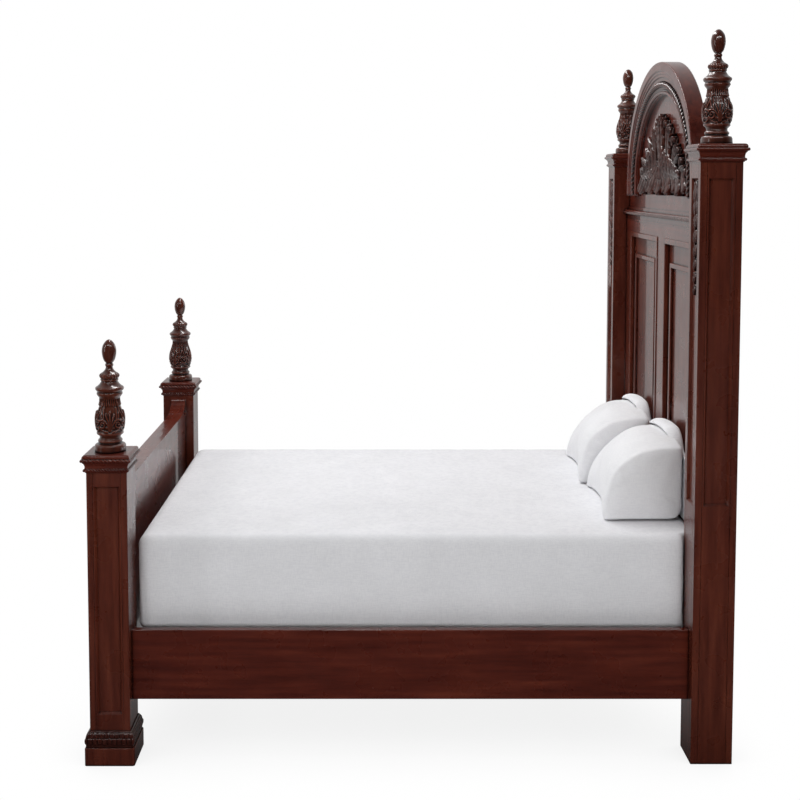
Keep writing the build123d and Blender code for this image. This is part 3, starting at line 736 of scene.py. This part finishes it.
def make_crown(made):
    low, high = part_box("crown_arch")
    deep = (high.y - low.y) / MM
    section = stretches((
        ((0, deep), (0, 5)),
        ((0, 5), (0.8, 2), (2.6, 0.5), (6, 0)),
        ((6, 0), (35, 0)),
        ((35, 0), (38, 0.8), (39.5, 3), (40, 5)),
        ((40, 5), (50, 4.6), (52, 6), (53, 9)),
        ((53, 9), (63, 8.6), (65, 10), (66, 14)),
        ((66, 14), (82, 14)),
        ((82, 14), (86, 20), (95, 22), (104, 20), (108, 14)),
        ((108, 14), (112, 16), (117, 21), (121, 22)),
        ((121, 22), (137, 22), (140, 23)),
        ((140, 23), (140, deep)),
        ((140, deep), (0, deep))), 3.0)[:-1] + [0, low.y / MM]
    rings = [np.insert(crown_line(inset), 1, depth, axis=1) for inset, depth in section]
    columns = len(rings[0])
    faces = grid_faces(len(rings), columns, wrap_rows=True)
    faces.append(tuple(row * columns for row in range(len(rings))))
    faces.append(tuple(row * columns + columns - 1 for row in range(len(rings))))
    new_piece("moulded_crown", np.vstack(rings), faces, made["cherry_x"], "cherry", "bed_frame",
              ["crown_arch"])


def swept(line, depth, radius, columns):
    """A round section along a line of (x, z) at one depth, with its radius at (s, angle)."""
    step = np.gradient(line, axis=0)
    step /= np.linalg.norm(step, axis=1, keepdims=True)
    gone = distances(line)
    rings = []
    for (x, z), (dx, dz), s in zip(line, step, gone):
        end = min(s, gone[-1] - s)
        for index in range(columns):
            angle = 2 * math.pi * index / columns
            r = radius(s, angle) * min(1, math.sqrt(max(0.05, end / 9)))
            rings.append((x - dz * r * math.cos(angle), depth + r * math.sin(angle),
                          z + dx * r * math.cos(angle)))
    return np.array(rings), tube_faces(len(line), columns)


def rope_radius(size, pitch, depth):
    """Radius of a twisted rope: rounded strands that wind round it."""
    def radius(s, angle):
        phase = ROPE_STRANDS * (angle / (2 * math.pi)) + s / pitch
        return size * (1 - depth + depth * abs(math.sin(math.pi * phase)) ** 0.8)
    return radius


def make_crown_trim(made):
    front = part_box("crown_arch")[0].y / MM
    rope = swept(crown_line(95, 900, 36), front + 14, rope_radius(13.5, 23, 0.4), 24)
    new_piece("twisted_crown_rope", *rope, made["carved"], "carved_cherry", "bed_frame",
              ["crown_rope_moulding"])
    bead = swept(crown_line(130), front + 20, lambda s, angle: 7.5, 16)
    new_piece("round_crown_bead", *bead, made["cherry_x"], "cherry", "bed_frame",
              ["crown_bead_moulding"])
    low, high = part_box("headboard_frieze_moulding")
    reach = high.x / MM - 0.5
    line = np.array([(x, FRIEZE_ROPE_Z) for x in np.linspace(reach, -reach, 900)])
    frieze = swept(line, low.y / MM + 3, rope_radius(7.5, 12, 0.3), 18)
    new_piece("frieze_rope", *frieze, made["carved"], "carved_cherry", "bed_frame")


# Leaf carving
def leaf(path, width, thick, lift, lobes, steps, across, tilt=0.0):
    """A carved leaf over a back plane: path in (x, z), with heights proud of the plane in y.

    width and thick are the greatest half width and thickness; lift is the height of the leaf's
    underside at its root, middle and tip, and tilt raises one edge over the other.
    """
    line = curve_through(path, max(4, steps // (len(path) - 1)))
    step = np.gradient(line, axis=0)
    step /= np.maximum(np.linalg.norm(step, axis=1, keepdims=True), 1e-9)
    count = len(line)
    points = []
    for index, ((x, z), (dx, dz)) in enumerate(zip(line, step)):
        t = index / (count - 1)
        body = max(0.0, math.sin(math.pi * (0.12 + 0.88 * t) ** 0.85)) ** 0.55
        blunt = math.sqrt(max(0.0, 1 - ((t - 0.8) / 0.2) ** 2)) if t > 0.8 else 1
        notch = abs(math.sin(math.pi * lobes * t)) ** 0.7 if lobes else 1
        half = width * max(0.06, min(body, blunt)) * (0.76 + 0.24 * notch)
        rise = thick * max(0.1, blunt)
        under = lift[0] * (1 - t) ** 2 + 2 * lift[1] * t * (1 - t) + lift[2] * t * t
        for column in range(across):
            s = -1 + 2 * column / (across - 1)
            dome = math.sqrt(max(0.0, 1 - s * s))
            flutes = (0.5 + 0.5 * math.cos(5 * math.pi * s)) * (1 - abs(s) ** 4)
            vein = 0.45 * math.exp(-(s / 0.12) ** 2) + 0.30 * flutes * (1 - 0.5 * notch)
            height = under + rise * max(0.0, dome - vein) + tilt * s * dome
            points.append((x - dz * half * s, -max(0.5, height), z + dx * half * s))
        for s in (1, -1):
            points.append((x - dz * half * s * 0.9, 1.0, z + dx * half * s * 0.9))
    return points, tube_faces(count, across + 2)


PEARL_SIDES = 12
SCROLL_TURNS = 1.4


def pearl(x, z, radius, proud, count=8):
    """A small round bead standing proud of a back plane."""
    sides = range(PEARL_SIDES)
    points = [(x, -proud - radius, z)]
    for ring in range(1, count):
        tilt = math.pi * ring / count
        ring_radius = radius * math.sin(tilt)
        for index in sides:
            turn = 2 * math.pi * index / PEARL_SIDES
            points.append((x + ring_radius * math.cos(turn), -proud - radius * math.cos(tilt),
                           z + ring_radius * math.sin(turn)))
    points.append((x, -proud + radius, z))
    last = len(points) - 1
    right = [(index + 1) % PEARL_SIDES for index in sides]
    faces = [(0, 1 + index, 1 + right[index]) for index in sides]
    faces += [tuple(1 + i for i in face)
              for face in grid_faces(count - 1, PEARL_SIDES, wrap_columns=True)]
    faces += [(last, last - PEARL_SIDES + right[index], last - PEARL_SIDES + index)
              for index in sides]
    return points, faces


def scroll(x, z, size, side, thick):
    """A volute: a ridge wound into a spiral, with a button in its eye."""
    gone = np.linspace(0, 1, 14)
    reach = size * (1 - gone) ** 0.8
    angle = 2 * math.pi * SCROLL_TURNS * gone + 2.2
    path = np.column_stack([x + side * reach * np.cos(angle), z + reach * np.sin(angle)])
    ridge = leaf(path, size * 0.24, thick, (4, 10, 12), 0, 52, 9)
    return [ridge, pearl(x, z, size * 0.26, thick + 4)]


# Plumes of the centre carving: (tip x, tip z above the carving's foot, half width, tip lift).
PLUMES = ((56, 336, 24, 24), (130, 304, 25, 18), (204, 262, 25, 25), (274, 216, 25, 18),
          (338, 172, 24, 24), (394, 126, 21, 16))
# Narrow leaves that rise between the plumes, further back.
BACK_LEAVES = ((22, 348, 14), (94, 322, 15), (168, 288, 15), (240, 242, 15), (308, 194, 15),
               (368, 150, 14), (420, 106, 12))
# Hanging tips along its bottom: (x, how far below the middle line, half width, tip lift).
TIPS = ((0, 94, 30, 25), (76, 84, 27, 16), (158, 92, 30, 25), (244, 82, 27, 16), (334, 94, 31, 25),
        (408, 84, 24, 16))


def centre_carving():
    """Upright plumes of acanthus over a row of hanging tips, with curls and scrolls between."""
    shapes = [leaf([(0, 70), (0, 180), (0, 280), (0, 354)], 28, 14, (14, 20, 24), 8, 48, 21)]
    for index in range(9):
        shapes.append(pearl(0, 150 + 21 * index, 7.6 - 0.4 * index, 24 + 0.9 * index))
    for side in (-1, 1):
        for tip, top, width in BACK_LEAVES:
            foot = 0.7 * tip
            path = mirrored(side, (foot, 60), (foot + 0.1 * tip, 60 + 0.5 * (top - 60)), (tip, top))
            shapes.append(leaf(path, width, 7, (1, 2, 4), 6, 34, 11))
        for order, (tip, top, width, lift) in enumerate(PLUMES):
            foot = 0.64 * tip
            rise = top - 50
            sway = 14 if order % 2 else -8
            path = mirrored(side, (foot, 50), (foot + 0.08 * tip + sway, 50 + 0.36 * rise),
                            (foot + 0.20 * tip + sway, 50 + 0.74 * rise), (tip + 6, top))
            shapes.append(leaf(path, width, 14, (4, lift * 0.5, lift), 6, 48, 21,
                               tilt=5.0 if order % 2 else -5.0))
            curl = mirrored(side, (tip - 6, top - 50), (tip + 12, top - 18), (tip + 24, top - 48))
            shapes.append(leaf(curl, 9, 11, (lift * 0.5, lift, 6), 2, 20, 11))
            low = mirrored(side, (tip * 0.74 - 12, 74), (tip * 0.80 + 20, 74 + 0.24 * rise),
                           (tip * 0.82 - 2, 74 + 0.5 * rise))
            shapes.append(leaf(low, 15, 12, (12, 22, 24), 5, 30, 15, tilt=4.0))
        for x, z, size in ((60, 112, 27), (148, 100, 26), (234, 90, 24), (320, 82, 20)):
            shapes += scroll(side * x, z, size, side, 15)
    for x, drop, width, lift in TIPS:
        for side in ((-1, 1) if x else (1,)):
            path = mirrored(side, (x * 0.86, 122), (x * 0.93, 102 - 0.4 * drop),
                            (x, 96 - 0.75 * drop), (x + 8, 96 - drop))
            shapes.append(leaf(path, width, 14, (2, lift * 0.8, lift + 4), 2, 34, 21, tilt=-3.0))
    return merged(shapes)


def make_centre_carving(made):
    low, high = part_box("headboard_carving")
    points, faces = centre_carving()
    points = np.array(points) + [0, high.y / MM, low.z / MM]
    new_piece("acanthus_carving", points, faces, made["carved"], "carved_cherry", "bed_frame",
              ["headboard_carving"])


# Husks of the posts' drops: (distance from the top, half width, petal width).
HUSKS = ((0, 34, 25), (52, 30, 23), (108, 26, 20), (166, 24, 18), (222, 21, 16), (276, 18, 14),
         (328, 16, 12), (376, 13, 10))


def husk_drop():
    """A string of bellflower husks, each with three petals and a bead, under a ribbon loop."""
    shapes = [leaf([(0, 4), (bow, -16), (0, -40)], 8, 6, (2, 5, 2), 0, 18, 9)
              for bow in (-14, 14)]
    for down, spread, width in HUSKS:
        length = 1.9 * spread + 10
        for lean in (-1, 1):
            shapes.append(leaf([(lean * 3, -down - 6), (lean * spread * 0.7, -down - length * 0.45),
                                (lean * spread * 0.75, -down - length * 0.95)], width * 0.42, 5,
                               (1, 5, 5), 3, 18, 9))
        shapes.append(leaf([(0, -down - 4), (0, -down - length * 0.55), (0, -down - length * 1.12)],
                           width * 0.5, 6.5, (2, 5, 4), 3, 18, 9))
        shapes.append(pearl(0, -down - 3, width * 0.24, 6, 6))
    return merged(shapes)


def make_drops(made):
    points, faces = husk_drop()
    for node in ("head_post_carving_left", "head_post_carving_right"):
        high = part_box(node)[1]
        place = [middle(node).x / MM, high.y / MM, high.z / MM - 6]
        new_piece("husks_" + node, np.array(points) + place, faces, made["carved"], "carved_cherry",
                  "bed_frame", [node])


# Soft pieces
def rounded_box(low, high, low_radius, high_radius, step):
    """A box on an even grid, with edges rounded by the low sides' and the high sides' radii."""
    low_radius, high_radius = np.array(low_radius, float), np.array(high_radius, float)
    size = high - low
    counts = [max(4, int(round(side / step))) + 1 for side in size]
    sides = []
    for axis in range(3):
        first, second = [i for i in range(3) if i != axis]
        rows, columns = counts[first], counts[second]
        for end in (0.0, 1.0):
            grid = np.full((rows, columns, 3), end)
            grid[..., first] = np.linspace(0, 1, rows)[:, None]
            grid[..., second] = np.linspace(0, 1, columns)
            sides.append((grid.reshape(-1, 3), grid_faces(rows, columns)))
    points, faces = merged(sides)
    points = low + np.array(points) * size
    inner = np.clip(points, low + low_radius, high - high_radius)
    radius = np.where(points < inner, low_radius, high_radius)
    away = (points - inner) / radius
    length = np.linalg.norm(away, axis=1, keepdims=True)
    return inner + away / np.maximum(length, 1e-9) * radius, faces


HEADBOARD_OPENING = 722.0       # half the width between the head posts, less a little air
SHEET_LAP = 58.0                # how far the sheet's head end laps on towards the headboard


def make_mattress(made):
    """The mattress under its fitted sheet: crowned, with soft pulls at the corners."""
    low, high = (np.array(corner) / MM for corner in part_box("mattress"))
    high[1] += 8
    points, faces = rounded_box(low, high, (28, 46, 30), (28, 9, 42), 13)
    across, along, up = points.T
    inside = np.clip((HEADBOARD_OPENING - np.abs(across)) / 14, 0, 1)
    upper = np.clip((up - high[2] + 150) / 60, 0, 1)
    near_end = np.clip((along - high[1] + 60) / 60, 0, 1)
    along += SHEET_LAP * inside * upper * near_end
    centre = (low + high) / 2
    x, y, z = ((points - centre) / (high - low) * 2).T
    crown = np.clip(1 - x ** 2, 0, 1) * np.clip(1 - y ** 2, 0, 1)
    top = np.clip((z - 0.6) / 0.4, 0, 1)
    ripple = np.sin(across * 0.021 + 1.3 * np.sin(along * 0.006))
    ripple = ripple * np.sin(along * 0.011 + 0.8)
    up += top * 0.9 * ripple * crown
    wall = np.clip(1 - z ** 2, 0, 1)
    swell = 3 + 0.8 * np.sin(along * 0.03) * (1 - z) / 2
    across += np.sign(x) * wall * np.clip((abs(x) - 0.9) / 0.1, 0, 1) * swell
    corner = np.clip((abs(x) - 0.86) / 0.14, 0, 1) * np.clip((abs(y) - 0.88) / 0.12, 0, 1)
    pulls = np.sin((across * np.sign(x) - along * np.sign(y)) * 0.16 + z * 3)
    pulls = corner * wall * (1 - z) * 1.1 * pulls
    points[:, :2] -= np.stack([np.sign(x), np.sign(y)], 1) * pulls[:, None]
    piece = new_piece("sheeted_mattress", points, faces, made["sheet"], "sheet_fabric", "mattress",
                      ["mattress"])


def make_box_spring(made):
    """The box spring's upholstered frame, with a piped edge round its top and bottom."""
    low, high = (np.array(corner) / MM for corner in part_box("box_spring"))
    edge = 14
    points, faces = rounded_box(low, high, (edge,) * 3, (edge,) * 3, 24)
    for z in (low[2] + edge, high[2] - edge):
        piping = np.exp(-((points[:, 2] - z) / 6) ** 2)[:, None]
        points[:, :2] += np.sign(points[:, :2]) * 2.5 * piping
    piece = new_piece("upholstered_box_spring", points, faces, made["ticking"], "ticking_fabric",
                      "box_spring", ["box_spring"])


RIM_POINTS = 110                # round each section of a pillow


def lofted_cushion(x0, x1, section, rounding, bulge, stations=31):
    """A closed cushion: section(u) gives its loop of (y, z) at u from -1 to 1 between x0 and x1."""
    half = (x1 - x0) / 2
    inner = half - bulge - rounding
    end = [(half - bulge + bulge * (1 - k * k), k) for k in (0.03, 0.2, 0.4, 0.6, 0.78, 0.88)]
    for angle in np.linspace(0.15, 1, 7) * math.pi / 2:
        end.append((half - bulge - rounding * (1 - math.cos(angle)),
                    1 - 0.1 * (1 - math.sin(angle))))
    rings = [(-x, -1, k) for x, k in end]
    rings += [(u * inner, u, 1.0) for u in np.linspace(-1, 1, stations)[1:-1]]
    rings += [(x, 1, k) for x, k in reversed(end)]
    points = []
    for x, u, k in rings:
        loop = closed_curve(section(u), RIM_POINTS)
        centre = loop.mean(0)
        points += [((x0 + x1) / 2 + x, y, z) for y, z in centre + (loop - centre) * k]
    return np.array(points), tube_faces(len(rings), RIM_POINTS)


# A front pillow's two end sections, as (y behind its front edge, z above the mattress). The near
# end stands up; the far one is slumped.
NEAR_END = ((4, 6), (3.5, 40), (5, 72), (11, 112), (22, 156), (40, 197), (67, 230), (106, 260),
            (155, 283), (208, 295), (268, 300), (304, 298), (314, 290), (315, 230), (315, 120),
            (313, 50), (300, 14), (268, 2), (180, 1.5), (90, 1.5), (14, 1.5))
FAR_END = ((27, 5), (34, 36), (43, 68), (58, 106), (82, 146), (110, 178), (138, 202), (172, 226),
           (204, 244), (240, 258), (278, 268), (304, 270), (314, 264), (315, 215), (315, 115),
           (313, 50), (300, 14), (268, 2), (190, 1.5), (110, 1.5), (38, 1.5))
# How far the front edge is drawn back, by place across the pillow.
DRAWN_BACK = ((-1, 27), (-0.84, 40), (-0.5, 50), (-0.19, 47), (0.18, 36), (0.6, 17), (1, 0))
PILLOW_SWELL = 0.12             # how much taller a pillow is in the middle
PILLOW_LEAN = 50.0              # how far a back pillow laps over the front one


def swell_of(u):
    return 1 + PILLOW_SWELL * (1 - abs(u) ** 2.2)


def slump_of(u):
    return ((1 - u) / 2) ** 1.4


def front_section(front, floor):
    """Sections of a front pillow: crowned, with its foot drawn back between the corners."""
    def section(u):
        slump = slump_of(u)
        back = float(np.interp(u, *zip(*DRAWN_BACK))) - FAR_END[0][0] * slump
        loop = []
        for (near_y, near_z), (far_y, far_z) in zip(NEAR_END, FAR_END):
            y = near_y + (far_y - near_y) * slump
            z = near_z + (far_z - near_z) * slump
            foot = max(0.0, 1 - z / 260) * max(0.0, 1 - y / 230)
            loop.append((front + y + back * foot, floor + z * swell_of(u)))
        return loop
    return section


def back_section(front, rear, floor):
    """Sections of a back pillow: pressed flat below, and lapped over the front pillow above."""
    def section(u):
        slump = slump_of(u)
        seat = floor + (300 - 31 * slump) * swell_of(u) + 2
        drop = min(1.0, max(0.0, (abs(u - 0.02) - 0.42) / 0.3))
        crest = seat + 23 - 66 * drop ** 2.0
        lean = PILLOW_LEAN * math.sqrt(max(0.0, 1 - (drop * 1.05) ** 2.5)) if drop < 0.95 else 0
        under = min(seat, crest - 7)
        return ((front + 1.5, floor + 4), (rear - 2, floor + 4), (rear - 1.5, floor + 150),
                (rear - 1.5, crest - 40), (rear - 3, crest - 16), (rear - 12, crest - 3),
                (rear - 26, crest), (front - lean * 0.55, crest - 1),
                (front - lean * 0.9, crest - 9), (front - lean, (crest + under) / 2 - 7),
                (front - lean * 0.85, under + 1),
                (front - 2, under), (front + 1.5, under - 10), (front + 1.5, floor + 150))
    return section


def read_points(piece):
    flat = np.empty(len(piece.data.vertices) * 3)
    piece.data.vertices.foreach_get("co", flat)
    return flat.reshape(-1, 3)


def apply_modifiers(piece):
    """Replace a piece's mesh with what its modifiers make of it."""
    graph = bpy.context.evaluated_depsgraph_get()
    mesh = bpy.data.meshes.new_from_object(piece.evaluated_get(graph))
    piece.modifiers.clear()
    old = piece.data
    piece.data = mesh
    bpy.data.meshes.remove(old)
    shade_smooth(mesh)


PUFF_REACH = 0.005              # the furthest that a point may move, in metres
PUFF_FRAMES = 20


def puff(piece, low, high):
    """Fill a pillow with a short cloth simulation under pressure, inside the room it has."""
    start = read_points(piece)
    cloth = piece.modifiers.new("cloth", "CLOTH")
    cloth.settings.use_pressure = True
    cloth.settings.uniform_pressure_force = 4.0
    cloth.settings.effector_weights.gravity = 0
    for number in range(1, PUFF_FRAMES + 1):
        bpy.context.scene.frame_set(number)
    apply_modifiers(piece)
    bpy.context.scene.frame_set(1)
    moved = read_points(piece) - start
    length = np.linalg.norm(moved, axis=1, keepdims=True)
    filled = start + moved * np.minimum(1, PUFF_REACH / np.maximum(length, 1e-9))
    filled = np.clip(filled, np.array(low), np.array(high))
    piece.data.vertices.foreach_set("co", filled.ravel())
    piece.data.update()
    smooth = piece.modifiers.new("smooth", "SUBSURF")
    smooth.levels = smooth.render_levels = 1
    apply_modifiers(piece)


def make_pillows(made):
    """Two front pillows and the two that stand behind them."""
    for side in ("right", "left"):
        low, high = (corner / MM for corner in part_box("pillow_front_" + side))
        shape = lofted_cushion(low.x, high.x, front_section(low.y, low.z), 20, 7)
        pillow = new_piece("pillow_case_front_" + side, *shape, made["pillow"], "pillow_fabric",
                           "pillow_front_" + side, ["pillow_front_" + side])
        puff(pillow, low * MM, high * MM)
        low_back, high_back = (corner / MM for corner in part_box("pillow_back_" + side))
        section = back_section(high.y + 3, high_back.y, low_back.z)
        shape = lofted_cushion(low_back.x, high_back.x, section, 12, 3, stations=61)
        behind = new_piece("pillow_case_back_" + side, *shape, made["pillow"], "pillow_fabric",
                           "pillow_back_" + side, ["pillow_back_" + side])


make_camera()
make_lights()
make_world()
make_floor()
made = make_materials()
paint_cad(made)
for make in (make_finials, make_caps, make_collars, make_crown, make_crown_trim,
             make_centre_carving, make_drops, make_mattress, make_box_spring, make_pillows):
    make(made)
